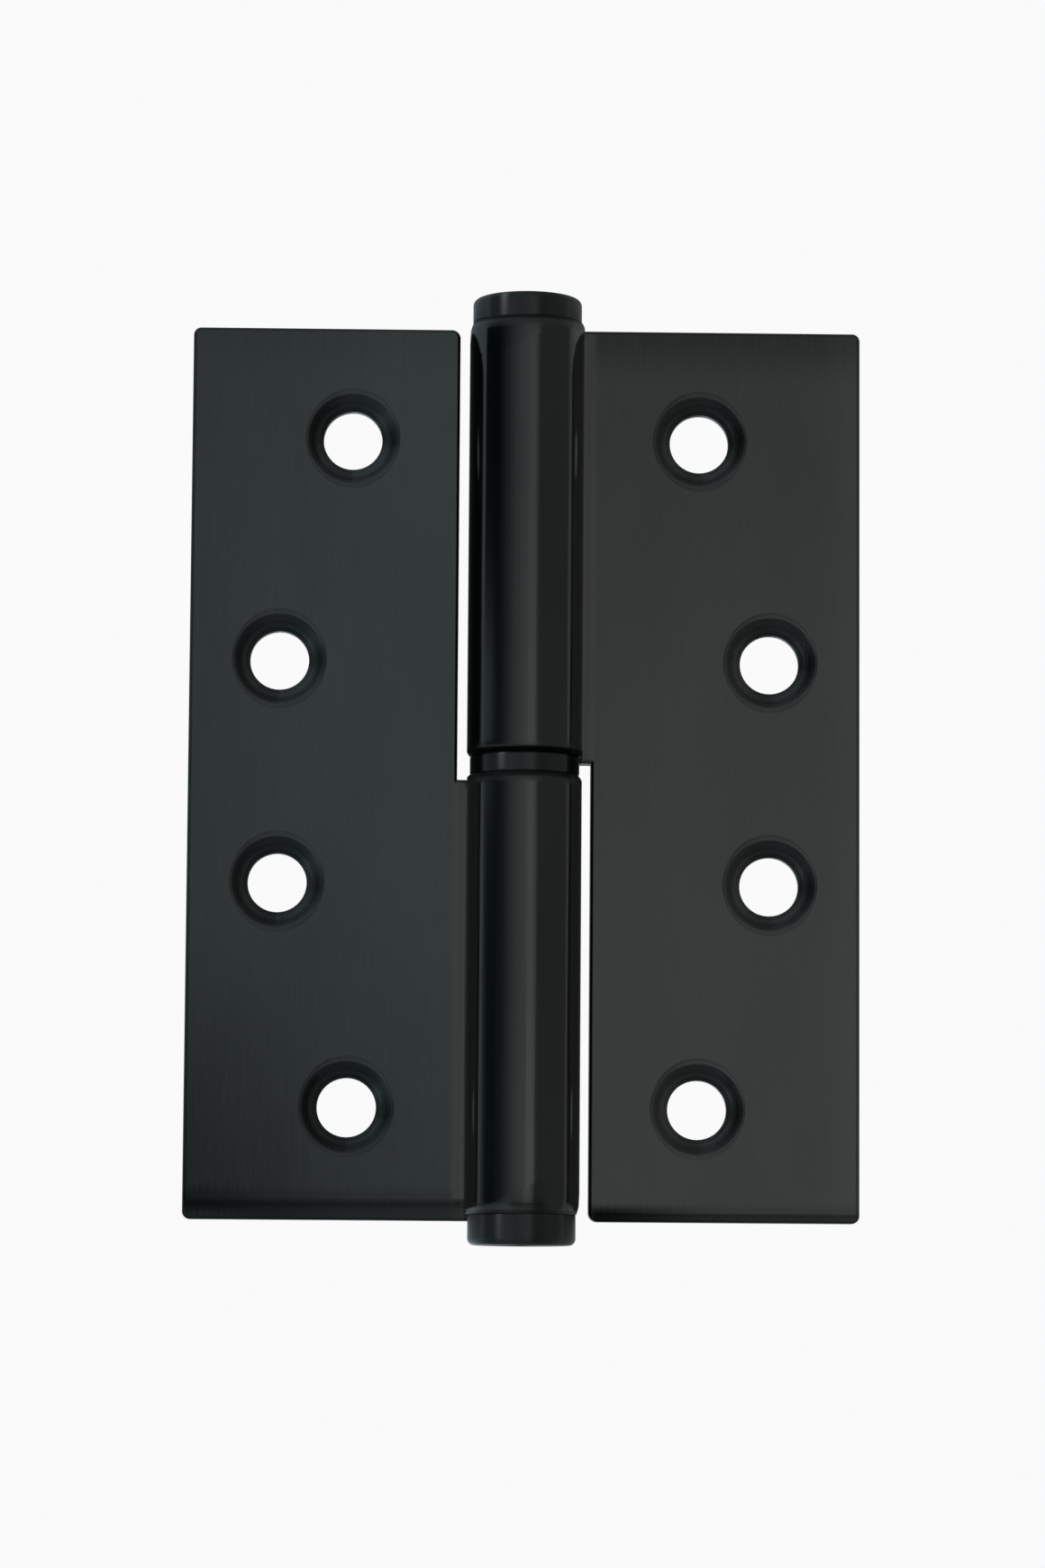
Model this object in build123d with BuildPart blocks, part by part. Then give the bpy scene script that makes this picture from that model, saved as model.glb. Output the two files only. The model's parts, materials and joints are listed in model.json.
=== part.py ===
from build123d import *
from math import acos, asin, cos, degrees, radians, sin
import os

os.makedirs("parts", exist_ok=True)

# Lift-off hinge in rolled sheet steel, shown open flat.
# X runs across both leaves, Z up the pin, and Y away from the side with the countersinks.
# The origin is on the pin's axis at half the height of the leaves. Lengths are in millimetres.

# Leaves
leaf_height = 101.6
open_width = 76.2
sheet_thickness = 3.0
closed_gap = 3.0
edge_round = 0.45
outer_corner_radius = 0.85
free_corner_radius = 1.0
frame_foot_height = 2.5
door_foot_height = 1.15
foot_slope = 18

# Screw holes
hole_diameter = 6.7
sink_diameter = 10.5
sink_angle = 90
sink_rim_bevel = 0.15
hole_pitch = 25.4
middle_hole_from_edge = 10.2
end_hole_from_edge = 18.3

# Rolled knuckles
reverse_bend_radius = 3.0
seam_gap = 0.2
door_knuckle_rise = 0.3
frame_knuckle_setback = 0.7
door_strap_overhang = 0.5
frame_strap_overhang = -0.25

# Dressing of the knuckle ends, cut about an axis set over towards the strap
dressing_shift = 0.15
dressing_depth = 0.26
outer_round_length = 1.2
washer_round_length = 1.0
crown_length = 6.2
crown_depth = 0.12
dressing_relief = 0.02

# Pin and washer
pin_diameter = 7.0
pin_tail_gap = 0.5
pin_nose_gap = 3.1
pin_nose_length = 2.5
pin_nose_step = 1.1
washer_diameter = 12.4
washer_thickness = 2.2
washer_underside = -0.7
washer_edge_bevel = 0.25

# Tips
top_tip_diameter = 12.4
top_tip_height = 2.85
bottom_tip_diameter = 12.15
bottom_tip_height = 3.45
tip_edge_bevel = 0.45
spigot_length = 5.0
spigot_chamfer = 0.5

# Clearances
running_clearance = 0.05
washer_clearance = 0.1
knuckle_side_gap = 1.05
seat_clearance = 0.15
cutter_margin = 0.2

# Sizes that follow
half_height = leaf_height / 2
leaf_reach = open_width / 2
front_y = closed_gap / 2
middle_y = front_y + sheet_thickness / 2
back_y = front_y + sheet_thickness
pin_radius = pin_diameter / 2
frame_bore = pin_radius
door_bore = pin_radius + running_clearance
frame_knuckle_radius = frame_bore + sheet_thickness
door_knuckle_radius = door_bore + sheet_thickness
seat_radius = max(washer_diameter, top_tip_diameter, bottom_tip_diameter) / 2 + seat_clearance
cutter_reach = abs(frame_knuckle_setback) + abs(door_strap_overhang) + edge_round + cutter_margin

# Levels up the pin
frame_knuckle_top = washer_underside
frame_knuckle_bottom = frame_knuckle_setback - half_height
door_knuckle_bottom = washer_underside + washer_thickness
door_knuckle_top = half_height + door_knuckle_rise

# Each leaf is drawn as if it lay to the right with its knuckle upwards.
# The frame leaf is the one that is turned half round to the left.
door_side = Plane.XY
frame_side = Plane((0, 0, 0), x_dir=(-1, 0, 0), z_dir=(0, 0, -1))


def on_side(side, plane):
    """A plane of the leaf's drawing, carried to the side where the leaf lies."""
    return Plane(side.location * plane.location)


def ring_sector(centre, inner_radius, outer_radius, start, size):
    """The section of a bend: a part of a ring between two radii."""
    with BuildSketch() as sector:
        with BuildLine():
            inner = CenterArc(centre, inner_radius, start, size)
            outer = CenterArc(centre, outer_radius, start, size)
            Line(inner @ 0, outer @ 0)
            Line(inner @ 1, outer @ 1)
        make_face()
    return sector.sketch


def bend_angle(bore):
    """The turn of the reverse bend between the flat leaf and the knuckle."""
    roll_radius = bore + sheet_thickness / 2
    return degrees(acos((middle_y + reverse_bend_radius) / (roll_radius + reverse_bend_radius)))


def bend_start(bore):
    """The distance from the pin's axis at which the flat leaf starts to bend."""
    roll_radius = bore + sheet_thickness / 2
    return (roll_radius + reverse_bend_radius) * sin(radians(bend_angle(bore)))


def end_dressing(side, bore, level, way, round_length, crown):
    """The ring that is ground off a knuckle's end, from the strap round to the seam."""
    knuckle_radius = bore + sheet_thickness
    strap_angle = 90 - bend_angle(bore)
    shift_x = dressing_shift * cos(radians(strap_angle))
    shift_y = dressing_shift * sin(radians(strap_angle))
    whole_radius = knuckle_radius + dressing_shift + dressing_relief
    ring_radius = whole_radius + cutter_margin
    end_radius = knuckle_radius - dressing_depth
    past = level + way * cutter_reach
    seam_angle = degrees(asin((front_y - seam_gap) / knuckle_radius))
    clear_angle = degrees(asin((front_y - shift_y) / ring_radius))
    radial = Plane(
        (shift_x, shift_y, 0),
        x_dir=(cos(radians(strap_angle)), sin(radians(strap_angle)), 0),
        z_dir=(sin(radians(strap_angle)), -cos(radians(strap_angle)), 0),
    )
    axis_plane = on_side(side, Plane((shift_x, shift_y, 0)))
    with BuildPart() as ring:
        with BuildSketch(on_side(side, radial)):
            with BuildLine():
                round_start = level - way * round_length
                if crown:
                    start = (whole_radius, level - way * crown_length)
                    knee = (whole_radius - crown_depth, round_start)
                    crown_curve = TangentArc(start, knee, tangent=(0, way))
                    rounding = TangentArc(knee, (end_radius, level), tangent=crown_curve % 1)
                else:
                    start = (whole_radius, round_start)
                    rounding = TangentArc(start, (end_radius, level), tangent=(0, way))
                Polyline(
                    rounding @ 1,
                    (bore, level),
                    (bore, past),
                    (ring_radius, past),
                    (ring_radius, start[1]),
                    start,
                )
            make_face()
        revolve(
            axis=Axis(axis_plane.origin, axis_plane.z_dir),
            revolution_arc=360 - strap_angle + min(seam_angle, clear_angle),
        )
    return ring.part


def foot_dressing(side, foot, bend_x):
    """The strip that a belt takes off the front of a leaf's bottom edge, in two arcs."""
    level, way, height = foot
    slope = radians(foot_slope)
    belt_radius = (height - edge_round * (1 - sin(slope))) / sin(slope)
    knee = (front_y + belt_radius * (1 - cos(slope)), level - way * edge_round * (1 - sin(slope)))
    nose = (knee[0] + edge_round * cos(slope), level)
    past = level + way * cutter_margin
    start_x = bend_x - reverse_bend_radius / 2
    with BuildPart() as strip:
        with BuildSketch(on_side(side, Plane((start_x, 0, 0), x_dir=(0, 1, 0), z_dir=(1, 0, 0)))):
            with BuildLine():
                belt_curve = TangentArc((front_y, level - way * height), knee, tangent=(0, way))
                TangentArc(knee, nose, tangent=belt_curve % 1)
                Polyline(
                    nose,
                    (nose[0], past),
                    (front_y - cutter_margin, past),
                    (front_y - cutter_margin, level - way * height),
                    belt_curve @ 0,
                )
            make_face()
        extrude(amount=leaf_reach - start_x + cutter_margin)
    return strip.part


def rolled_leaf(side, bore, other_radius, knuckle_levels, strap_overhang, foot):
    """One leaf and its knuckle, cut and rolled from a single sheet."""
    washer_end, outer_end = knuckle_levels
    knuckle_radius = bore + sheet_thickness
    inner_edge = other_radius + knuckle_side_gap
    turn = bend_angle(bore)
    bend_x = bend_start(bore)
    bend_centre = (bend_x, middle_y + reverse_bend_radius)
    strap_end = washer_end - strap_overhang
    seam_angle = degrees(asin((front_y - seam_gap) / knuckle_radius))
    with BuildPart() as leaf:
        # Flat leaf with its notch, down to the line where the sheet starts to bend
        with BuildSketch(on_side(side, Plane((0, back_y, 0), x_dir=(1, 0, 0), z_dir=(0, -1, 0)))) as blank:
            with BuildLine():
                Polyline(
                    (leaf_reach, -half_height),
                    (leaf_reach, half_height),
                    (bend_x, half_height),
                    (bend_x, strap_end),
                    (inner_edge, strap_end),
                    (inner_edge, -half_height),
                    close=True,
                )
            make_face()
            fillet(blank.vertices().group_by(Axis.X)[-1], outer_corner_radius)
            free_corner = blank.vertices().sort_by_distance((inner_edge, -half_height))[0]
            fillet(free_corner, free_corner_radius)
        extrude(amount=sheet_thickness)
        # Reverse bend
        with BuildSketch(side.offset(strap_end)):
            add(
                ring_sector(
                    bend_centre,
                    reverse_bend_radius - sheet_thickness / 2,
                    reverse_bend_radius + sheet_thickness / 2,
                    270 - turn,
                    turn,
                )
            )
        extrude(amount=half_height - strap_end)
        # Softened edges all round the two faces of the sheet
        flats = leaf.faces().filter_by(Axis.Y).group_by(SortBy.AREA)[-1]
        rims = flats.edges().filter_by(lambda edge: abs(abs(edge.center().X) - bend_x) > 0.01)
        fillet(rims, edge_round)
        add(foot_dressing(side, foot, bend_x), mode=Mode.SUBTRACT)
        # Knuckle, rolled on round the pin until it closes on the leaf at the seam
        with BuildSketch(side.offset(washer_end)):
            add(ring_sector((0, 0), bore, knuckle_radius, 90 - turn, 270 + turn + seam_angle))
        extrude(amount=outer_end - washer_end)
        # Seats for the washer and the tip, where the strap reaches past the knuckle
        for level, way in ((washer_end, -1), (outer_end, 1)):
            with BuildSketch(side.offset(level)):
                Circle(seat_radius)
            extrude(amount=way * cutter_reach, mode=Mode.SUBTRACT)
        add(end_dressing(side, bore, washer_end, -1, washer_round_length, False), mode=Mode.SUBTRACT)
        add(end_dressing(side, bore, outer_end, 1, outer_round_length, True), mode=Mode.SUBTRACT)
        # Countersunk screw holes in a zigzag
        for from_edge, from_middle in (
            (end_hole_from_edge, 1.5 * hole_pitch),
            (middle_hole_from_edge, 0.5 * hole_pitch),
        ):
            for height in (-from_middle, from_middle):
                spot = Plane((leaf_reach - from_edge, front_y, height), z_dir=(0, -1, 0))
                with Locations(on_side(side, spot)):
                    CounterSinkHole(
                        hole_diameter / 2,
                        sink_diameter / 2,
                        depth=sheet_thickness,
                        counter_sink_angle=sink_angle,
                    )
        sink_rims = leaf.edges().filter_by(GeomType.CIRCLE).filter_by(
            lambda edge: abs(edge.radius - sink_diameter / 2) < 0.001 and abs(edge.center().Y - front_y) < 0.001
        )
        chamfer(sink_rims, sink_rim_bevel)
    return leaf


frame_leaf = rolled_leaf(
    frame_side,
    frame_bore,
    door_knuckle_radius,
    (-frame_knuckle_top, -frame_knuckle_bottom),
    frame_strap_overhang,
    (half_height, 1, frame_foot_height),
)
frame_leaf.part.label = "frame_leaf"
export_step(frame_leaf.part, "parts/frame_leaf.step")

door_leaf = rolled_leaf(
    door_side,
    door_bore,
    frame_knuckle_radius,
    (door_knuckle_bottom, door_knuckle_top),
    door_strap_overhang,
    (-half_height, -1, door_foot_height),
)
door_leaf.part.label = "door_leaf"
export_step(door_leaf.part, "parts/door_leaf.step")

# Pin, the same size from end to end, with a tapered nose that finds the upper knuckle
with BuildPart() as hinge_pin:
    pin_bottom = frame_knuckle_bottom + spigot_length + pin_tail_gap
    pin_top = door_knuckle_top - spigot_length - pin_nose_gap
    with BuildSketch(Plane.XZ) as pin_section:
        with BuildLine():
            Polyline(
                (0, pin_bottom),
                (pin_radius, pin_bottom),
                (pin_radius, pin_top - pin_nose_length),
                (pin_radius - pin_nose_step, pin_top),
                (0, pin_top),
                close=True,
            )
        make_face()
        tail = pin_section.vertices().group_by(Axis.Y)[0].sort_by(Axis.X)[-1]
        chamfer(tail, spigot_chamfer)
    revolve(axis=Axis.Z)
hinge_pin.part.label = "hinge_pin"
export_step(hinge_pin.part, "parts/hinge_pin.step")

# Washer that carries the door leaf
with BuildPart() as bearing_washer:
    with BuildSketch(Plane.XY.offset(washer_underside)):
        Circle(washer_diameter / 2)
        Circle(pin_radius + washer_clearance, mode=Mode.SUBTRACT)
    extrude(amount=washer_thickness)
    outer_rims = bearing_washer.edges().filter_by(
        lambda edge: edge.geom_type == GeomType.CIRCLE and edge.radius > washer_diameter / 2 - 0.001
    )
    chamfer(outer_rims, washer_edge_bevel)
bearing_washer.part.label = "bearing_washer"
export_step(bearing_washer.part, "parts/bearing_washer.step")


def button_tip(side, bore, seat, diameter, height):
    """A turned button whose spigot is pressed into the open end of a knuckle."""
    with BuildPart() as tip:
        with BuildSketch(on_side(side, Plane((0, 0, 0), x_dir=(1, 0, 0), z_dir=(0, -1, 0)))) as section:
            with BuildLine():
                Polyline(
                    (0, seat + height),
                    (diameter / 2, seat + height),
                    (diameter / 2, seat),
                    (bore, seat),
                    (bore, seat - spigot_length),
                    (0, seat - spigot_length),
                    close=True,
                )
            make_face()
            rim = section.vertices().sort_by_distance((diameter / 2, seat + height))[0]
            chamfer(rim, tip_edge_bevel)
            nose = section.vertices().sort_by_distance((bore, seat - spigot_length))[0]
            chamfer(nose, spigot_chamfer)
        revolve(axis=Axis.Z)
    return tip


top_tip = button_tip(door_side, door_bore, door_knuckle_top, top_tip_diameter, top_tip_height)
top_tip.part.label = "top_tip"
export_step(top_tip.part, "parts/top_tip.step")

bottom_tip = button_tip(
    frame_side, frame_bore, -frame_knuckle_bottom, bottom_tip_diameter, bottom_tip_height
)
bottom_tip.part.label = "bottom_tip"
export_step(bottom_tip.part, "parts/bottom_tip.step")
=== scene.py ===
# %% [markdown]
# # A lift-off hinge in blackened steel
#
# The hinge is two rolled sheet leaves on a steel pin, with a turned washer between the knuckles and
# a turned button in each open end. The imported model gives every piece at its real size. This lesson
# adds the camera, a small photo studio, the finishes, and finer meshes for the turned pieces.

# %% Load the frame
import json
import math

import bmesh
import bpy
from mathutils import Matrix, Vector


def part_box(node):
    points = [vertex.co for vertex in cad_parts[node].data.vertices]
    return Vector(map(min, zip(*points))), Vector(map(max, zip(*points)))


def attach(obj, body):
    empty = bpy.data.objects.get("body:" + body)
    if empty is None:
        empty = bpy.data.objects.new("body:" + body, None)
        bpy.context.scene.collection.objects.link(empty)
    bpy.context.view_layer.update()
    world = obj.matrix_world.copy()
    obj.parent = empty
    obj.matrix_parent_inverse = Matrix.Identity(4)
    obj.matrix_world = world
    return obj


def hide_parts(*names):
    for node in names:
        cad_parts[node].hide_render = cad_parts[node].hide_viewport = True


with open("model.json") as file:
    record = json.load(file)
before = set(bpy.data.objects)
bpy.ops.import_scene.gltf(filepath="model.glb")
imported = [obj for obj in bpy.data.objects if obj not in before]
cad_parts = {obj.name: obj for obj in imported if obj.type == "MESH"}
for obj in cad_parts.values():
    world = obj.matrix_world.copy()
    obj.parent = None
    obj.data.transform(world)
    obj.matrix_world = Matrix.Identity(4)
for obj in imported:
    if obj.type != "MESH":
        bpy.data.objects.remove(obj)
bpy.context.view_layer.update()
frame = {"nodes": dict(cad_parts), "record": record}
scene = bpy.context.scene
scene.view_settings.view_transform = "Standard"
print("pieces:", ", ".join(sorted(frame["nodes"])))

# %% [markdown]
# ## The camera
#
# The photograph was taken from about 0.6 m in front, a little below the hinge's middle and looking
# up at it, so the underside of the top button shows and the edges of the leaves draw together
# upwards. A long lens with that place and aim gives the same outline, and a small roll levels it.
# Places and sizes are in metres throughout, and the lens is in millimetres, as Blender has it.

# %% Place the camera
LENS = 122.9
CAMERA_PLACE = Vector((-0.012255, -0.60135, -0.066886))
CAMERA_AIM = Vector((-0.000216, 0.0, -0.001565))
CAMERA_ROLL = math.radians(0.403)

camera = bpy.data.objects.new("camera", bpy.data.cameras.new("camera"))
camera.data.lens = LENS
turn = (CAMERA_AIM - CAMERA_PLACE).to_track_quat("-Z", "Y").to_matrix()
turn = turn @ Matrix.Rotation(CAMERA_ROLL, 3, "Z")
camera.matrix_world = Matrix.Translation(CAMERA_PLACE) @ turn.to_4x4()
scene.collection.objects.link(camera)
scene.camera = camera
print("camera distance:", round(CAMERA_PLACE.length, 3), "m")

# %% [markdown]
# ## Shader sums as plain Python
#
# Every finish here is a sum of masks and noises. Written node by node it would be hard to read, so
# a socket is wrapped in a small class whose plus, minus and times add the Math nodes. All other
# nodes come from one method that takes the node's kind, its settings and its sockets.


# %% A socket that can be calculated with
class Wire:
    """One output socket. Python's signs on it add Math nodes."""

    def __init__(self, graph, socket):
        self.graph = graph
        self.socket = socket

    def out(self, name):
        return Wire(self.graph, self.socket.node.outputs[name])

    def __add__(self, other):
        return self.graph.math("ADD", self, other)

    def __radd__(self, other):
        return self.graph.math("ADD", other, self)

    def __sub__(self, other):
        return self.graph.math("SUBTRACT", self, other)

    def __rsub__(self, other):
        return self.graph.math("SUBTRACT", other, self)

    def __mul__(self, other):
        return self.graph.math("MULTIPLY", self, other)

    def __rmul__(self, other):
        return self.graph.math("MULTIPLY", other, self)


# %% [markdown]
# A material and a world are both node trees, so one class serves both. Its step is the tool that is
# used most: a mask that goes smoothly from 0 to 1 between two limits. Where a limit is a place on
# the hinge, it is written in metres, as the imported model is.


# %% The nodes of one material or world
class Graph:
    """A node tree that starts empty."""

    def __init__(self, owner):
        owner.use_nodes = True
        self.tree = owner.node_tree
        self.tree.nodes.clear()

    def node(self, kind, settings=None, sockets=None):
        """Add a node: its settings first, then the values or links of its sockets."""
        made = self.tree.nodes.new("ShaderNode" + kind)
        for name, value in (settings or {}).items():
            setattr(made, name, value)
        for name, value in (sockets or {}).items():
            entry = self.entry(made, name)
            if isinstance(value, Wire):
                self.tree.links.new(value.socket, entry)
            else:
                entry.default_value = value
        shown = [socket for socket in made.outputs if not socket.is_unavailable]
        return Wire(self, shown[0]) if shown else made

    def entry(self, made, name):
        """An input by its place, or the first one in use that has the name."""
        if isinstance(name, int):
            return made.inputs[name]
        return next(s for s in made.inputs if s.name == name and not s.is_unavailable)

    def math(self, operation, *values):
        return self.node("Math", {"operation": operation}, dict(enumerate(values)))

    def step(self, value, start, end):
        """0 before start and 1 past end, with a smooth change between. It falls if end is lower."""
        limits = {"Value": value, "From Min": start, "From Max": end}
        return self.node("MapRange", {"interpolation_type": "SMOOTHSTEP"}, limits)

    def length(self, across, along):
        """The distance that two steps at a right angle make."""
        return self.math("SQRT", across * across + along * along)

    def parts(self, vector):
        """The x, y and z of a vector."""
        split = self.node("SeparateXYZ", {}, {"Vector": vector})
        return split.out("X"), split.out("Y"), split.out("Z")

    def blend(self, share, first, second):
        """A mix of two colours."""
        sockets = {"Factor": share, "A": first, "B": second}
        return self.node("Mix", {"data_type": "RGBA"}, sockets)

    def scaled(self, vector, by):
        return self.node("VectorMath", {"operation": "MULTIPLY"}, {0: vector, 1: by})

    def noise(self, vector, changes, detail=2.0, roughness=0.5):
        """A noise from 0 to 1, with so many changes in a metre along each axis."""
        sockets = {"Vector": self.scaled(vector, changes), "Scale": 1.0}
        sockets.update({"Detail": detail, "Roughness": roughness})
        return self.node("TexNoise", {}, sockets)


# %% [markdown]
# ## The studio
#
# Polished black metal shows nothing but its surroundings, so they are what shapes it. Lamps alone
# would give the knuckles a few dots. A world shader can hold a whole studio instead: the direction
# that a reflected ray leaves in is turned into an azimuth and a height in degrees, and each part of
# the studio is one soft patch over them. Azimuth 0 is straight in front, where the camera stands,
# minus is left and plus is right.

# %% Directions in the studio
world = bpy.data.worlds.new("studio")
scene.world = world
air = Graph(world)
to_right, to_back, upwards = air.parts(air.node("TexCoord").out("Generated"))
azimuth = air.math("ARCTAN2", to_right, 0.0 - to_back) * math.degrees(1.0)
height = air.math("ARCSINE", upwards) * math.degrees(1.0)


def patch(level, heights=(), azimuths=()):
    """A soft patch of light. Each pair of degrees is where an edge starts and where it is complete."""
    edges = [air.step(height, *pair) for pair in heights]
    edges += [air.step(azimuth, *pair) for pair in azimuths]
    shape = edges[0]
    for edge in edges[1:]:
        shape = shape * edge
    return shape * level


print("nodes for the directions:", len(air.tree.nodes))

# %% [markdown]
# A standing barrel shows an azimuth twice as far round as its own surface has turned, so its front
# half reflects the whole circle. From left to right it shows a dark flag, a slope of light that
# grows towards a soft box just right of the camera, a sharp edge, and a dimmer wall.

# %% The walls round the hinge
GLOW_LEVEL = 0.88
GLOW_LOSS = 0.010
BOX_LEVEL = 0.36
WALL_LEVEL = 0.29

glow_level = GLOW_LEVEL - height * GLOW_LOSS
front_glow = patch(glow_level, azimuths=[(-64.0, 8.0), (28.0, 16.0)])
soft_box = patch(BOX_LEVEL, heights=[(16.0, 0.0)], azimuths=[(1.0, 7.0), (22.0, 16.0)])
right_wall = patch(WALL_LEVEL, azimuths=[(14.0, 27.0), (98.0, 92.0)])
print("nodes with the walls:", len(air.tree.nodes))

# %% [markdown]
# Past 90 degrees the leaves stand in the way, and only a thin line of the pale backdrop shows
# beside them. The backdrop is brightest there and dimmer straight behind the hinge.

# %% The backdrop past the leaves
BEHIND_LEFT = 0.30
LEFT_GAIN = 0.34
BEHIND_RIGHT = 0.26
RIGHT_GAIN = 0.38

left_level = BEHIND_LEFT + air.step(azimuth, -150.0, -98.0) * LEFT_GAIN
right_level = BEHIND_RIGHT + air.step(azimuth, 150.0, 100.0) * RIGHT_GAIN
backdrop_left = patch(left_level, heights=[(-40.0, -20.0)], azimuths=[(-90.8, -92.8)])
backdrop_right = patch(right_level, azimuths=[(92.0, 96.0)])
level = front_glow + soft_box + right_wall + backdrop_left + backdrop_right
print("nodes with the backdrop:", len(air.tree.nodes))

# %% [markdown]
# The camera is low, so the upper knuckle shows the studio from 6.4 to 11 degrees up and the lower
# one from there down to 2. Below 8.5 degrees the flag isn't quite dark any more, and light leaks
# past its edge: widely at the level of the upper knuckle's lower half, and narrowly below that.

# %% Light past the flag's edge
HAZE_LEVEL = 0.05
WIDE_LEVEL = 0.70
NARROW_LEVEL = 0.27

haze = patch(HAZE_LEVEL, heights=[(8.6, 6.8)], azimuths=[(-40.0, -60.0)])
wide_leak = patch(WIDE_LEVEL, heights=[(8.35, 7.2), (6.3, 6.6)], azimuths=[(-52.0, -86.0)])
narrow_leak = patch(NARROW_LEVEL, heights=[(6.6, 6.3), (-14.0, -6.0)], azimuths=[(-80.0, -90.0)])
before_backdrop = air.step(azimuth, -92.8, -90.8)
level = level + haze + (wide_leak + narrow_leak) * before_backdrop
print("nodes with the light past the flag:", len(air.tree.nodes))

# %% [markdown]
# The rims of the knuckles and the feet of the leaves lean up or down, and show what is above and
# below. The ceiling is pale, and a little dimmer overhead. The table's edge in front is dark, which
# draws the line across the leaves' feet. The flag on the left is short, so pale light passes over
# and under it and lights the rims there. Straight down, where an azimuth says little, the level is
# the same all round.

# %% Ceiling, table and the ends of the flag
CEILING_LEVEL = 0.45
OVERHEAD_LOSS = 0.17
TABLE_EDGE_DARKNESS = 0.82
TABLE_LEVEL = 0.28
OVER_FLAG_LEVEL = 0.24
UNDER_FLAG_LEVEL = 0.30
FLOOR_GLOW = 0.26

ceiling = air.step(height, 24.0, 60.0)
ceiling_level = CEILING_LEVEL - air.step(height, 40.0, 62.0) * OVERHEAD_LOSS
level = level * (1.0 - ceiling) + ceiling * ceiling_level
table_edge = patch(TABLE_EDGE_DARKNESS, heights=[(0.5, -9.0)], azimuths=[(-34.0, -14.0), (62.0, 34.0)])
table_glow = patch(TABLE_LEVEL, heights=[(-9.0, -24.0)], azimuths=[(44.0, 16.0)])
level = level * (1.0 - table_edge) + table_glow
over_flag = patch(OVER_FLAG_LEVEL, heights=[(14.0, 24.0)])
under_flag = patch(UNDER_FLAG_LEVEL, heights=[(0.0, -9.0), (-40.0, -24.0)])
level = level + (over_flag + under_flag) * air.step(azimuth, -14.0, -44.0)
straight_down = air.step(height, -42.0, -62.0)
level = level * (1.0 - straight_down) + straight_down * FLOOR_GLOW
print("nodes with what is above and below:", len(air.tree.nodes))

# %% [markdown]
# The left of the studio is a little cooler than the right, as daylight beside a lamp, and no part
# of it is quite black. The camera sees none of it: its rays meet a plain white backdrop, while the
# rays that the steel reflects meet the studio. Light Path tells the two apart.

# %% What the camera sees and what the steel reflects
BACKDROP = 0.955
LEAST_RED = 0.018
LEAST_GREEN = 0.042
LEAST_BLUE = 0.052
COOL_RED = 0.88
WARM_RED_GAIN = 0.11
COOL_BLUE = 1.06
WARM_BLUE_LOSS = 0.09

warmth = air.step(azimuth, -50.0, 20.0)
red = level * (COOL_RED + warmth * WARM_RED_GAIN) + LEAST_RED
green = level + LEAST_GREEN
blue = level * (COOL_BLUE - warmth * WARM_BLUE_LOSS) + LEAST_BLUE
tone = air.node("CombineColor", {}, {"Red": red, "Green": green, "Blue": blue})
reflected = air.node("Background", {}, {"Color": tone, "Strength": 1.0})
white = (BACKDROP, BACKDROP, BACKDROP, 1.0)
plain = air.node("Background", {}, {"Color": white, "Strength": 1.0})
path = air.node("LightPath")
mirrored = air.math("MAXIMUM", path.out("Is Glossy Ray"), path.out("Is Transmission Ray"))
seen = air.node("MixShader", {}, {0: mirrored, 1: plain, 2: reflected})
air.node("OutputWorld", {}, {"Surface": seen})
print("world nodes:", len(air.tree.nodes))

# %% [markdown]
# ## The lamp
#
# One strip lamp hangs on the left, well above the level at which the upright knuckles could show
# it. The washer and the buttons still do, because their lathe marks spread its light up and down
# into one bright streak. It stands where the streak falls a quarter of the way round to the left.
# In the studio a flag would shade the leaves, so that no glint falls into the countersinks. Here
# light linking does that: the lamp reaches only the pieces in its collection.

# %% Hang the lamp
LAMP_AZIMUTH = math.radians(-58.0)
LAMP_HEIGHT = math.radians(38.7)
LAMP_DISTANCE = 1.0
LAMP_WIDTH = 0.16
LAMP_LENGTH = 0.40
LAMP_WATTS = 1.7

flat = math.cos(LAMP_HEIGHT)
way = Vector((math.sin(LAMP_AZIMUTH) * flat, -math.cos(LAMP_AZIMUTH) * flat, math.sin(LAMP_HEIGHT)))
lamp = bpy.data.objects.new("side_lamp", bpy.data.lights.new("side_lamp", "AREA"))
lamp.data.shape = "RECTANGLE"
lamp.data.size, lamp.data.size_y = LAMP_WIDTH, LAMP_LENGTH
lamp.data.energy = LAMP_WATTS
facing = way.to_track_quat("Z", "Y").to_matrix().to_4x4()
lamp.matrix_world = Matrix.Translation(way * LAMP_DISTANCE) @ facing
lamp.visible_camera = False
lamp_lit = bpy.data.collections.new("lamp_lit")
lamp.light_linking.receiver_collection = lamp_lit
scene.collection.objects.link(lamp)
print("lamp at", [round(value, 2) for value in way * LAMP_DISTANCE])

# %% [markdown]
# ## The floor
#
# The floor is a wide disc of pale paper, below what the camera sees. A circle that is filled makes
# it in one step. Its face has to look up, so it is turned over where it doesn't.

# %% The floor's disc
FLOOR_LEVEL = -0.12
FLOOR_RADIUS = 4.0
FLOOR_CORNERS = 96

shape = bmesh.new()
bmesh.ops.create_circle(shape, cap_ends=True, segments=FLOOR_CORNERS, radius=FLOOR_RADIUS)
bmesh.ops.translate(shape, verts=shape.verts, vec=(0.0, 0.0, FLOOR_LEVEL))
shape.normal_update()
bmesh.ops.reverse_faces(shape, faces=[face for face in shape.faces if face.normal.z < 0.0])
floor = bpy.data.objects.new("floor", bpy.data.meshes.new("floor"))
shape.to_mesh(floor.data)
shape.free()
scene.collection.objects.link(floor)
floor.visible_glossy = False
print("floor at", FLOOR_LEVEL, "m, looking", "up" if floor.data.polygons[0].normal.z > 0 else "down")

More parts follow.
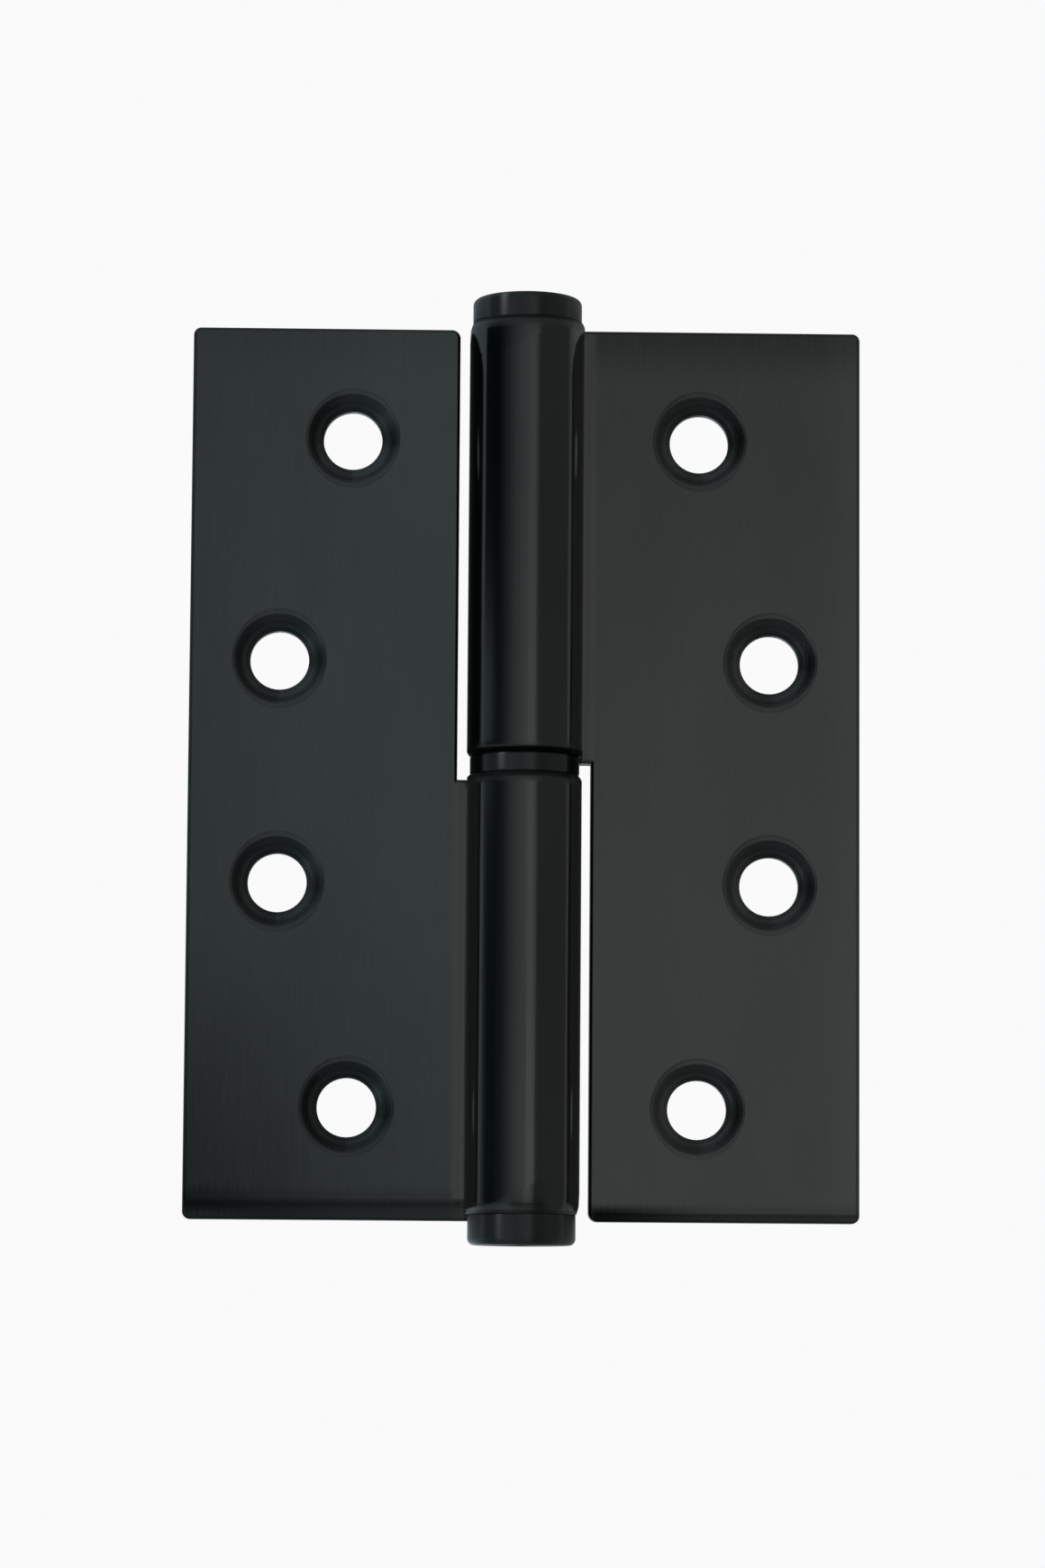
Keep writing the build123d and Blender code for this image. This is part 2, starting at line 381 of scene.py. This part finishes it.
# %% [markdown]
# Matt paper near the hinge takes its shadow. Further out the paper fades into a plain glow at the
# backdrop's own level, so that no horizon shows. From below, the back of the disc is clear: the
# hinge has an underside too, and the floor would hide it.

# %% The floor's paper
PAPER_WHITE = 0.80
SHADOW_EDGE = (0.5, 0.2)
SHADOW_SHARE = 0.6

paper = bpy.data.materials.new("paper")
paper_graph = Graph(paper)
place = paper_graph.node("TexCoord").out("Object")
spread = paper_graph.node("VectorMath", {"operation": "LENGTH"}, {0: place}).out("Value")
near = paper_graph.step(spread, *SHADOW_EDGE) * SHADOW_SHARE
matt = paper_graph.node("BsdfDiffuse", {}, {"Color": (PAPER_WHITE, PAPER_WHITE, PAPER_WHITE, 1.0)})
glow = paper_graph.node("Emission", {}, {"Color": white, "Strength": 1.0})
top_side = paper_graph.node("MixShader", {}, {0: near, 1: glow, 2: matt})
back_side = paper_graph.node("BsdfTransparent")
from_below = paper_graph.node("NewGeometry").out("Backfacing")
both_sides = paper_graph.node("MixShader", {}, {0: from_below, 1: top_side, 2: back_side})
paper_graph.node("OutputMaterial", {}, {"Surface": both_sides})
floor.data.materials.append(paper)
print("paper nodes:", len(paper_graph.tree.nodes))

# %% [markdown]
# ## The blackened sheet of the leaves
#
# The leaves are brushed up and down and then blackened, so each has fine upright marks and a dull
# satin shine, while the rolled knuckle is polished and shows sharp reflections. Leaf and knuckle are
# one sheet, so one material does both, with a mask for every change of surface. The first masks
# come from the holes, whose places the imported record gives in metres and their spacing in
# millimetres.


# %% The hole centres of one leaf
MM_IN_METRE = 1000.0


def hole_centres(side):
    """The x and z of each countersink on a leaf, in metres."""
    found = []
    for mount in frame["record"]["mounts"]:
        if mount["name"].startswith(side) and mount["kind"] == "bolt_pattern":
            x, _, z = mount["pos_m"]
            half = mount["dims"]["spacing_y_mm"] / 2.0 / MM_IN_METRE
            found += [(x, z - half), (x, z + half)]
    print(side, "holes at", [(round(x, 4), round(z, 4)) for x, z in found])
    return found


HOLES = {side: hole_centres(side) for side in ("frame", "door")}

# %% [markdown]
# A countersink is cut before the leaf is blackened and keeps the tool's fine rings. The last cut
# also drags the rim a little way down with it, so the sheet meets the hole in a soft lip. Both masks
# need the distance to the nearest hole. The lip's distance is measured on an oval, because the
# sheet's brushing has drawn the lip out up and down. Both end before the back face.


# %% Masks of the countersinks
SINK_RADIUS = 0.0053
SINK_EDGE = (SINK_RADIUS + 0.00008, SINK_RADIUS - 0.00008)
LIP_EDGE = (SINK_RADIUS + 0.0001, SINK_RADIUS - 0.0003)
LIP_STRETCH = 0.86
BEFORE_BACK = (0.0043, 0.0040)


def sink_masks(graph, x, y, z, side):
    """The distance to the nearest hole, its countersink and the soft lip round that."""
    nearest = lip_distance = None
    for hole_x, hole_z in HOLES[side]:
        across, along = x - hole_x, z - hole_z
        circle = graph.length(across, along)
        oval = graph.length(across, along * math.sqrt(LIP_STRETCH))
        nearest = circle if nearest is None else graph.math("MINIMUM", nearest, circle)
        lip_distance = oval if lip_distance is None else graph.math("MINIMUM", lip_distance, oval)
    front = graph.step(y, *BEFORE_BACK)
    sink = graph.step(nearest, *SINK_EDGE) * front
    lip = graph.step(lip_distance, *LIP_EDGE) * (1.0 - sink) * front
    return nearest, sink, lip


# %% [markdown]
# The distance from the pin's axis tells knuckle from leaf. Each end of a knuckle is dressed with a
# file before polishing and stays duller there, its upper rim more than its lower one. The last
# fraction of a millimetre is the seam with its neighbour, darkened with painted shade for the shadow
# in the gap. It is darkest above the washer, where the upper knuckle runs on it. The polishing belt
# can't reach the corner beside a leaf, so the oxide stays thicker in it. Pairs are for the lower end
# and the upper end.


# %% Masks of the knuckle
KNUCKLE_BLEND = (0.0085, 0.0072)
BARREL_SKIN = (0.0072, 0.0068)
SEAM_SKIN = (0.0068, 0.0066)
LOWER_KNUCKLE_END = -0.0501
washer_low, washer_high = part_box("bearing_washer")
KNUCKLE_ENDS = {
    "frame": (LOWER_KNUCKLE_END, washer_low.z),
    "door": (washer_high.z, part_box("door_leaf")[1].z),
}
DRESSED = (0.0015, 0.0008)
DRESSED_DULLNESS = (0.14, 0.30)
BUTTON_SEAM = (0.0005, 0.0002)
WASHER_SEAM = (0.0008, 0.0004)
SEAM_DEPTHS = {"frame": (BUTTON_SEAM, WASHER_SEAM), "door": (WASHER_SEAM, BUTTON_SEAM)}
SEAM_DARKNESS = {"frame": (0.4, 0.6), "door": (1.0, 0.6)}
CORNER_START = (0.0050, 0.0054)


def knuckle_masks(graph, x, y, z, side):
    """The knuckle, the dullness of its ends, its seams and the corner beside the leaf."""
    radius = graph.length(x, y)
    knuckle = graph.step(radius, *KNUCKLE_BLEND)
    barrel = graph.step(radius, *BARREL_SKIN)
    low, high = KNUCKLE_ENDS[side]
    dressed = seam = 0.0
    for end, depth in enumerate((z - low, high - z)):
        dressed = dressed + graph.step(depth, *DRESSED) * DRESSED_DULLNESS[end]
        seam = seam + graph.step(depth, *SEAM_DEPTHS[side][end]) * SEAM_DARKNESS[side][end]
    dressed = dressed * barrel
    seam = seam * graph.step(radius, *SEAM_SKIN)
    beside = graph.math("ABSOLUTE", x) if side == "frame" else x
    corner = graph.step(beside, *CORNER_START) * barrel
    return knuckle, dressed, seam, corner


# %% [markdown]
# The foot of each leaf is ground over in a shallow slope and then brushed again, so its upper edge
# is ragged: the strokes of the brush end at different heights. The slope is smoother than the face
# and darkened by painted shade. On the frame leaf the painted shade starts above it and is deepest
# in a band at the outer corner. On the door leaf it is a low band that is deepest beside the knuckle.
# Heights are measured from the leaf's bottom edge, and the foot's own edge is soft: its limits are
# shares of its height.


# %% Masks of the foot
LEAF_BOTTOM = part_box("frame_leaf")[0].z
FOOT_HEIGHT = {"frame": 0.0026, "door": 0.0012}
FOOT_EDGE = (1.1, 0.8)
STROKES = (2600.0, 40.0, 160.0)
STROKE_LENGTH = {"frame": 0.0020, "door": 0.0006}


def foot_masks(graph, place, z, side):
    """The ground foot, and the height above the leaf's bottom, made ragged by the strokes."""
    strokes = graph.noise(place, STROKES) - 0.5
    rise = z - LEAF_BOTTOM + strokes * STROKE_LENGTH[side]
    foot_limits = [FOOT_HEIGHT[side] * share for share in FOOT_EDGE]
    return graph.step(rise, *foot_limits), rise


# %% [markdown]
# The two painted shades have their own shapes, so each leaf has its own sum. Inside and outside are
# told apart by x: the frame leaf's outer corner is on the left, and the door leaf's inner one beside
# the knuckle.


# %% Painted shade at the foot
FRAME_INSIDE = (-0.036, -0.028)
FRAME_SHADE = (0.0042, 0.0020)
FRAME_SHADE_DEPTH = 0.30
FRAME_BAND_TOP = (0.0044, 0.0024)
FRAME_BAND_BOTTOM = (0.0004, 0.0016)
FRAME_BAND_DEPTH = 0.45
DOOR_INSIDE = (0.025, 0.008)
DOOR_SHADE = (0.0023, 0.0010)
DOOR_SHADE_DEPTH = 0.20
DOOR_INSIDE_DEPTH = 0.68
DOOR_OUTER_SHADE = (0.0012, 0.0005)
DOOR_OUTER_DEPTH = 0.30


def foot_shade(graph, x, rise, side):
    """How much painted shade darkens the sheet in and above its foot."""
    if side == "frame":
        inside = graph.step(x, *FRAME_INSIDE)
        band = graph.step(rise, *FRAME_BAND_TOP) * graph.step(rise, *FRAME_BAND_BOTTOM)
        shade = graph.step(rise, *FRAME_SHADE) * inside * FRAME_SHADE_DEPTH
        return shade + band * (1.0 - inside) * FRAME_BAND_DEPTH
    inside = graph.step(x, *DOOR_INSIDE)
    shade = graph.step(rise, *DOOR_SHADE) * (DOOR_SHADE_DEPTH + inside * DOOR_INSIDE_DEPTH)
    return shade + graph.step(rise, *DOOR_OUTER_SHADE) * (1.0 - inside) * DOOR_OUTER_DEPTH


# %% [markdown]
# The faces carry painted shade and painted light. The frame leaf darkens downwards and towards its
# outer edge, most of all where the two meet. The door leaf is lighter at the bottom and along its
# outer edge. The top few millimetres of both are darker. The tone is a share between the darkest
# and the lightest black of the sheet.


# %% Painted shade and light on the faces
DARK_TONE = (0.020, 0.0212, 0.0207, 1.0)
LIGHT_TONE = (0.103, 0.1045, 0.1015, 1.0)
TOP_EDGE = (0.0440, 0.0504)
FRAME_TONE = 0.475
FRAME_TOP_LOSS = 0.06
FRAME_OUTSIDE = (-0.010, -0.040)
FRAME_OUTSIDE_LOSS = 0.10
FRAME_LOW = (-0.008, -0.054)
FRAME_LOW_LOSS = 0.12
FRAME_CORNER_LOSS = 0.22
DOOR_TONE = 0.415
DOOR_TOP_LOSS = 0.22
DOOR_LOW = (0.056, -0.040)
DOOR_LOW_GAIN = 0.18
DOOR_OUTSIDE = (0.033, 0.0375)
DOOR_OUTSIDE_GAIN = 0.07


def face_tone_with_painted_light(graph, x, z, side):
    """The share of the light tone on a leaf's face, with painted shade and painted light."""
    top = graph.step(z, *TOP_EDGE)
    if side == "frame":
        outside = graph.step(x, *FRAME_OUTSIDE)
        low = graph.step(z, *FRAME_LOW) * (FRAME_LOW_LOSS + outside * FRAME_CORNER_LOSS)
        return FRAME_TONE - outside * FRAME_OUTSIDE_LOSS - low - top * FRAME_TOP_LOSS
    low = graph.step(z, *DOOR_LOW) * DOOR_LOW_GAIN
    outside = graph.step(x, *DOOR_OUTSIDE) * DOOR_OUTSIDE_GAIN
    return DOOR_TONE + low + outside - top * DOOR_TOP_LOSS


# %% [markdown]
# The brushing is noise that is stretched up and down: it changes within a fifth of a millimetre
# across the leaf and within eight millimetres along it. A finer noise of the same kind breaks it up.
# On the knuckle, long faint lines are left from rolling. In the countersinks the noise is a function
# of the distance to the hole alone, which makes rings. Half is taken off each, so that a mark
# lightens as often as it darkens.


# %% Marks on the sheet
BRUSHING = (5200.0, 5200.0, 130.0)
BRUSHING_SHARE = 0.6
FINE_BRUSHING = (14000.0, 14000.0, 500.0)
FINE_SHARE = 0.4
PATCHES = (90.0, 90.0, 40.0)
TOOL_RINGS = (7000.0, 1.0, 1.0)
ROLLING_LINES = (3600.0, 3600.0, 22.0)


def sheet_marks(graph, place, nearest):
    """The brushed grain, soft patches, tool rings and rolling lines, all from -0.5 to 0.5."""
    brushing = graph.noise(place, BRUSHING, detail=3.0, roughness=0.6) - 0.5
    fine = graph.noise(place, FINE_BRUSHING) - 0.5
    grain = brushing * BRUSHING_SHARE + fine * FINE_SHARE
    patches = graph.noise(place, PATCHES, detail=3.0) - 0.5
    outwards = graph.node("CombineXYZ", {}, {"X": nearest, "Y": 0.0, "Z": 0.0})
    rings = graph.noise(outwards, TOOL_RINGS, roughness=0.6) - 0.5
    rolled = graph.noise(place, ROLLING_LINES) - 0.5
    return grain, patches, rings, rolled


# %% [markdown]
# Now the masks meet. Colour is the face's tone, with its painted shade and light, and one tone on
# the knuckle, with painted shade at the foot and nearly black painted shade in the seams. The frame
# leaf gets a touch of blue, a painted tint for the cooler light that it reflects.


# %% Colour of the blackened sheet
KNUCKLE_TONE = 0.30
GRAIN_TONE = 0.40
PATCH_TONE = 0.16
NO_TINT = (1.0, 1.0, 1.0, 1.0)
# The frame leaf's blue is a painted tint for the cooler light that it reflects.
FACE_TINT = {"frame": (1.0, 1.07, 1.10, 1.0), "door": NO_TINT}
# Painted shade for the shadow in the seams.
SEAM_BLACK = (0.003, 0.003, 0.003, 1.0)


def sheet_colour(graph, tone, shade, leaf, seam, side):
    """The black that a tone stands for, with a painted tint and painted shade on the leaf, and painted
    shade in the seams.
    """
    colour = graph.blend(tone, DARK_TONE, LIGHT_TONE)
    colour = graph.scaled(colour, graph.blend(leaf, NO_TINT, FACE_TINT[side]))
    colour = graph.scaled(colour, 1.0 - shade * leaf)
    return graph.blend(seam, colour, SEAM_BLACK)


# %% [markdown]
# Every metal here ends in the same way: a bump whose height is in metres feeds the metal shader's
# normal, and the shader feeds the output. One helper does that for all of them.


# %% The end of every metal
def metal(material, graph, finish, relief):
    """Close a material with its finish, a dictionary of sockets, and the relief's height."""
    normal = graph.node("Bump", {}, {"Strength": 1.0, "Distance": 1.0, "Height": relief})
    shader = graph.node("BsdfPrincipled", {}, {**finish, "Normal": normal})
    graph.node("OutputMaterial", {}, {"Surface": shader})
    print(material.name, "nodes:", len(graph.tree.nodes))
    return material


# %% [markdown]
# Roughness is what tells the surfaces apart: mirror-like on the knuckle, satin on the face, between
# the two elsewhere. The relief is a few micrometres deep in the grain, and up to a tenth of a
# millimetre at the lips of the countersinks.


# %% Blackened sheet
KNUCKLE_ROUGHNESS = 0.10
FACE_ROUGHNESS = 0.28
GRAIN_ROUGHNESS = 0.16
SINK_ROUGHNESS = 0.16
FOOT_ROUGHNESS = 0.09
SEAM_ROUGHNESS = 0.25
CORNER_OXIDE = 0.2
GRAIN_DEPTH = 0.000010
POLISHED_DEPTH = 0.0000015
ROLLING_DEPTH = 0.000007
RING_DEPTH = 0.000055
LIP_DEPTH = 0.00009


def blackened_sheet(side):
    """The material of one leaf and its knuckle."""
    material = bpy.data.materials.new("blackened_sheet_" + side)
    graph = Graph(material)
    place = graph.node("TexCoord").out("Object")
    x, y, z = graph.parts(place)
    nearest, sink, lip = sink_masks(graph, x, y, z, side)
    knuckle, dressed, seam, corner = knuckle_masks(graph, x, y, z, side)
    leaf = 1.0 - knuckle
    foot, rise = foot_masks(graph, place, z, side)
    # Painted shade in and above the foot.
    shade = foot_shade(graph, x, rise, side)
    foot = foot * leaf
    face = leaf * (1.0 - sink) * (1.0 - foot)
    grain, patches, rings, rolled = sheet_marks(graph, place, nearest)
    # The face's tone carries painted shade and painted light.
    tone = KNUCKLE_TONE + (face_tone_with_painted_light(graph, x, z, side) - KNUCKLE_TONE) * leaf
    tone = tone + grain * face * GRAIN_TONE + patches * PATCH_TONE
    roughness = KNUCKLE_ROUGHNESS + face * (FACE_ROUGHNESS + grain * GRAIN_ROUGHNESS)
    roughness = roughness + sink * SINK_ROUGHNESS + foot * FOOT_ROUGHNESS
    roughness = roughness + dressed + seam * SEAM_ROUGHNESS
    relief = grain * face * GRAIN_DEPTH + grain * (1.0 - face) * POLISHED_DEPTH
    relief = relief + rolled * knuckle * ROLLING_DEPTH + rings * sink * RING_DEPTH - lip * LIP_DEPTH
    finish = {
        "Base Color": sheet_colour(graph, tone, shade, leaf, seam, side),
        "Metallic": 1.0 - corner * CORNER_OXIDE,
        "Roughness": roughness,
    }
    return metal(material, graph, finish, relief)


# %% [markdown]
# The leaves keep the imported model's own meshes, because their flat faces, holes and rolled knuckles
# are already exact and smooth. They only get the material.

# %% Black the leaves
for side in ("frame", "door"):
    leaf_mesh = frame["nodes"][side + "_leaf"].data
    leaf_mesh.materials.clear()
    leaf_mesh.materials.append(blackened_sheet(side))
    print(side + "_leaf faces:", len(leaf_mesh.polygons))

# %% [markdown]
# ## The blackened lathe finish
#
# The washer and the two buttons are turned, so their marks run round them. Grooves spread light
# across themselves, here up and down, and that is what anisotropy does in the shader. A quarter
# turn of the direction puts the spread across the grooves. The grooves' own noise changes quickly
# along the axis and the radius, and not round them.


# %% Blackened turned steel
TURNED_DARK = (0.026, 0.028, 0.029, 1.0)
TURNED_LIGHT = (0.058, 0.060, 0.059, 1.0)
GROOVES = (9000.0, 1.0, 9000.0)
GROOVE_TONE = 0.35
GROOVE_ROUGHNESS = 0.12
GROOVE_DEPTH = 0.0000022
TURNED_PATCHES = (180.0, 180.0, 180.0)
TURNED_PATCH_TONE = 0.3
TURNED_ROUGHNESS = 0.36
QUARTER_TURN = 0.25


def blackened_turned():
    """The material of the washer and the buttons."""
    material = bpy.data.materials.new("blackened_turned")
    graph = Graph(material)
    place = graph.node("TexCoord").out("Object")
    x, y, z = graph.parts(place)
    profile = graph.node("CombineXYZ", {}, {"X": graph.length(x, y), "Y": 0.0, "Z": z})
    grooves = graph.noise(profile, GROOVES, detail=3.0, roughness=0.6) - 0.5
    patches = graph.noise(place, TURNED_PATCHES, detail=3.0) - 0.5
    tone = 0.5 + grooves * GROOVE_TONE + patches * TURNED_PATCH_TONE
    finish = {
        "Base Color": graph.blend(tone, TURNED_DARK, TURNED_LIGHT),
        "Metallic": 1.0,
        "Roughness": TURNED_ROUGHNESS + grooves * GROOVE_ROUGHNESS,
        "Anisotropic": 1.0,
        "Anisotropic Rotation": QUARTER_TURN,
    }
    return metal(material, graph, finish, grooves * GROOVE_DEPTH)


turned_black = blackened_turned()

# %% [markdown]
# ## The pin
#
# The pin is a length of bright drawn bar, pressed into the lower knuckle and left bare where the
# door leaf turns on it. It shows when the door is lifted off. Drawing leaves faint lines along the
# bar, and grease makes some patches darker and smoother than others.


# %% Bare drawn steel
BARE_STEEL = (0.56, 0.55, 0.53, 1.0)
GREASED_STEEL = (0.40, 0.385, 0.35, 1.0)
DRAWN_LINES = (7000.0, 7000.0, 60.0)
LINE_ROUGHNESS = 0.12
LINE_DEPTH = 0.000003
GREASE_PATCHES = (260.0, 260.0, 120.0)
GREASE_EDGE = (0.42, 0.62)
BARE_ROUGHNESS = 0.30
GREASE_SHINE = 0.12


def drawn_steel():
    """The material of the pin."""
    material = bpy.data.materials.new("drawn_steel")
    graph = Graph(material)
    place = graph.node("TexCoord").out("Object")
    lines = graph.noise(place, DRAWN_LINES, detail=3.0, roughness=0.6) - 0.5
    grease = graph.noise(place, GREASE_PATCHES, detail=4.0, roughness=0.6)
    grease = graph.step(grease, *GREASE_EDGE)
    finish = {
        "Base Color": graph.blend(grease, BARE_STEEL, GREASED_STEEL),
        "Metallic": 1.0,
        "Roughness": BARE_ROUGHNESS - grease * GREASE_SHINE + lines * LINE_ROUGHNESS,
    }
    return metal(material, graph, finish, lines * LINE_DEPTH)


pin_mesh = frame["nodes"]["hinge_pin"].data
pin_mesh.materials.clear()
pin_mesh.materials.append(drawn_steel())

# %% [markdown]
# ## The turned buttons and the washer
#
# Each turned piece is one profile taken round the axis. Its corners are broken on the lathe with a
# file, so they are small round edges and not sharp steps. A cylinder with bevelled edges would do
# for the washer, but not for a button and its spigot. So the profile is drawn with its few real
# corners, vertex bevels round them, and a full spin makes the solid.


# %% Round the corners of a profile
ROUND_STEPS = 6


def rounded_profile(shape, corners, closed):
    """Draw (radius, height, rounding) corners in the XZ plane and round the ones that ask for it."""
    points = [shape.verts.new((radius, 0.0, level)) for radius, level, _ in corners]
    for first, second in zip(points, points[1:]):
        shape.edges.new((first, second))
    if closed:
        shape.edges.new((points[-1], points[0]))
    for point, (_, _, rounding) in zip(points, corners):
        if rounding:
            bmesh.ops.bevel(
                shape,
                geom=[point],
                offset=rounding,
                offset_type="OFFSET",
                segments=ROUND_STEPS,
                profile=0.5,
                affect="VERTICES",
                material=-1,
            )


# %% [markdown]
# A full spin with use_merge joins its last step to its first. The points on the axis come out as
# many copies in one place, so doubles are removed before the normals are made to look outwards. The
# count of open edges shows whether the solid is closed. Each piece also goes into the lamp's
# collection, because the turned pieces are what the lamp is for.


# %% Spin a profile into a turned piece
SPIN_STEPS = 160
SAME_PLACE = 1e-6
CENTRE = (0.0, 0.0, 0.0)
PIN_AXIS = (0.0, 0.0, 1.0)


def turned_piece(name, corners, closed, replaced, body):
    """Spin a profile round the pin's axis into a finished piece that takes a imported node's place."""
    shape = bmesh.new()
    rounded_profile(shape, corners, closed)
    outline = shape.verts[:] + shape.edges[:]
    bmesh.ops.spin(
        shape, geom=outline, cent=CENTRE, axis=PIN_AXIS, angle=math.tau, steps=SPIN_STEPS, use_merge=True
    )
    bmesh.ops.remove_doubles(shape, verts=shape.verts, dist=SAME_PLACE)
    bmesh.ops.recalc_face_normals(shape, faces=shape.faces)
    for face in shape.faces:
        face.smooth = True
    open_edges = sum(not edge.is_manifold for edge in shape.edges)
    piece = bpy.data.objects.new(name, bpy.data.meshes.new(name))
    shape.to_mesh(piece.data)
    shape.free()
    scene.collection.objects.link(piece)
    lamp_lit.objects.link(piece)
    piece.data.materials.append(turned_black)
    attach(piece, body)
    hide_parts(replaced)
    print(name, "faces:", len(piece.data.polygons), "open edges:", open_edges)


# %% [markdown]
# A button closes the open end of a knuckle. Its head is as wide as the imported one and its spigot
# fills the bore, whose radius is the knuckle's less the sheet's thickness. The head sits on the
# knuckle's end. The crown's rounding is the widest, because it is the edge that a hand touches.


# %% Buttons
BUTTON_ROUNDING = 0.00075
SEAT_BREAK = 0.00015
SPIGOT_BREAK = 0.0004
SHEET_THICKNESS = 0.003


def button(name, node, knuckle_radius, seat, side_up, body):
    """A button with its spigot. side_up is 1 for the top one and -1 for the bottom one."""
    low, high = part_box(node)
    crown, nose = (high.z, low.z) if side_up > 0 else (low.z, high.z)
    spigot_radius = knuckle_radius - SHEET_THICKNESS
    corners = [
        (0.0, crown, 0.0),
        (high.x, crown, BUTTON_ROUNDING),
        (high.x, seat, SEAT_BREAK),
        (spigot_radius, seat, 0.0),
        (spigot_radius, nose, SPIGOT_BREAK),
        (0.0, nose, 0.0),
    ]
    turned_piece(name, corners, False, node, body)


door_knuckle_radius = -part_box("door_leaf")[0].x
frame_knuckle_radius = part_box("frame_leaf")[1].x
button("top_button", "top_tip", door_knuckle_radius, KNUCKLE_ENDS["door"][1], 1, "door")
button("bottom_button", "bottom_tip", frame_knuckle_radius, KNUCKLE_ENDS["frame"][0], -1, "frame")

# %% [markdown]
# The washer is a plain ring between the knuckles. It clears the pin by a tenth of a millimetre and
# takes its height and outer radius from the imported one.

# %% Washer
WASHER_ROUNDING = 0.0003
WASHER_CLEARANCE = 0.0001
BORE_BREAK = 0.0001

washer_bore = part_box("hinge_pin")[1].x + WASHER_CLEARANCE
washer_corners = [
    (washer_bore, washer_low.z, BORE_BREAK),
    (washer_high.x, washer_low.z, WASHER_ROUNDING),
    (washer_high.x, washer_high.z, WASHER_ROUNDING),
    (washer_bore, washer_high.z, BORE_BREAK),
]
turned_piece("washer_ring", washer_corners, True, "bearing_washer", "washer")
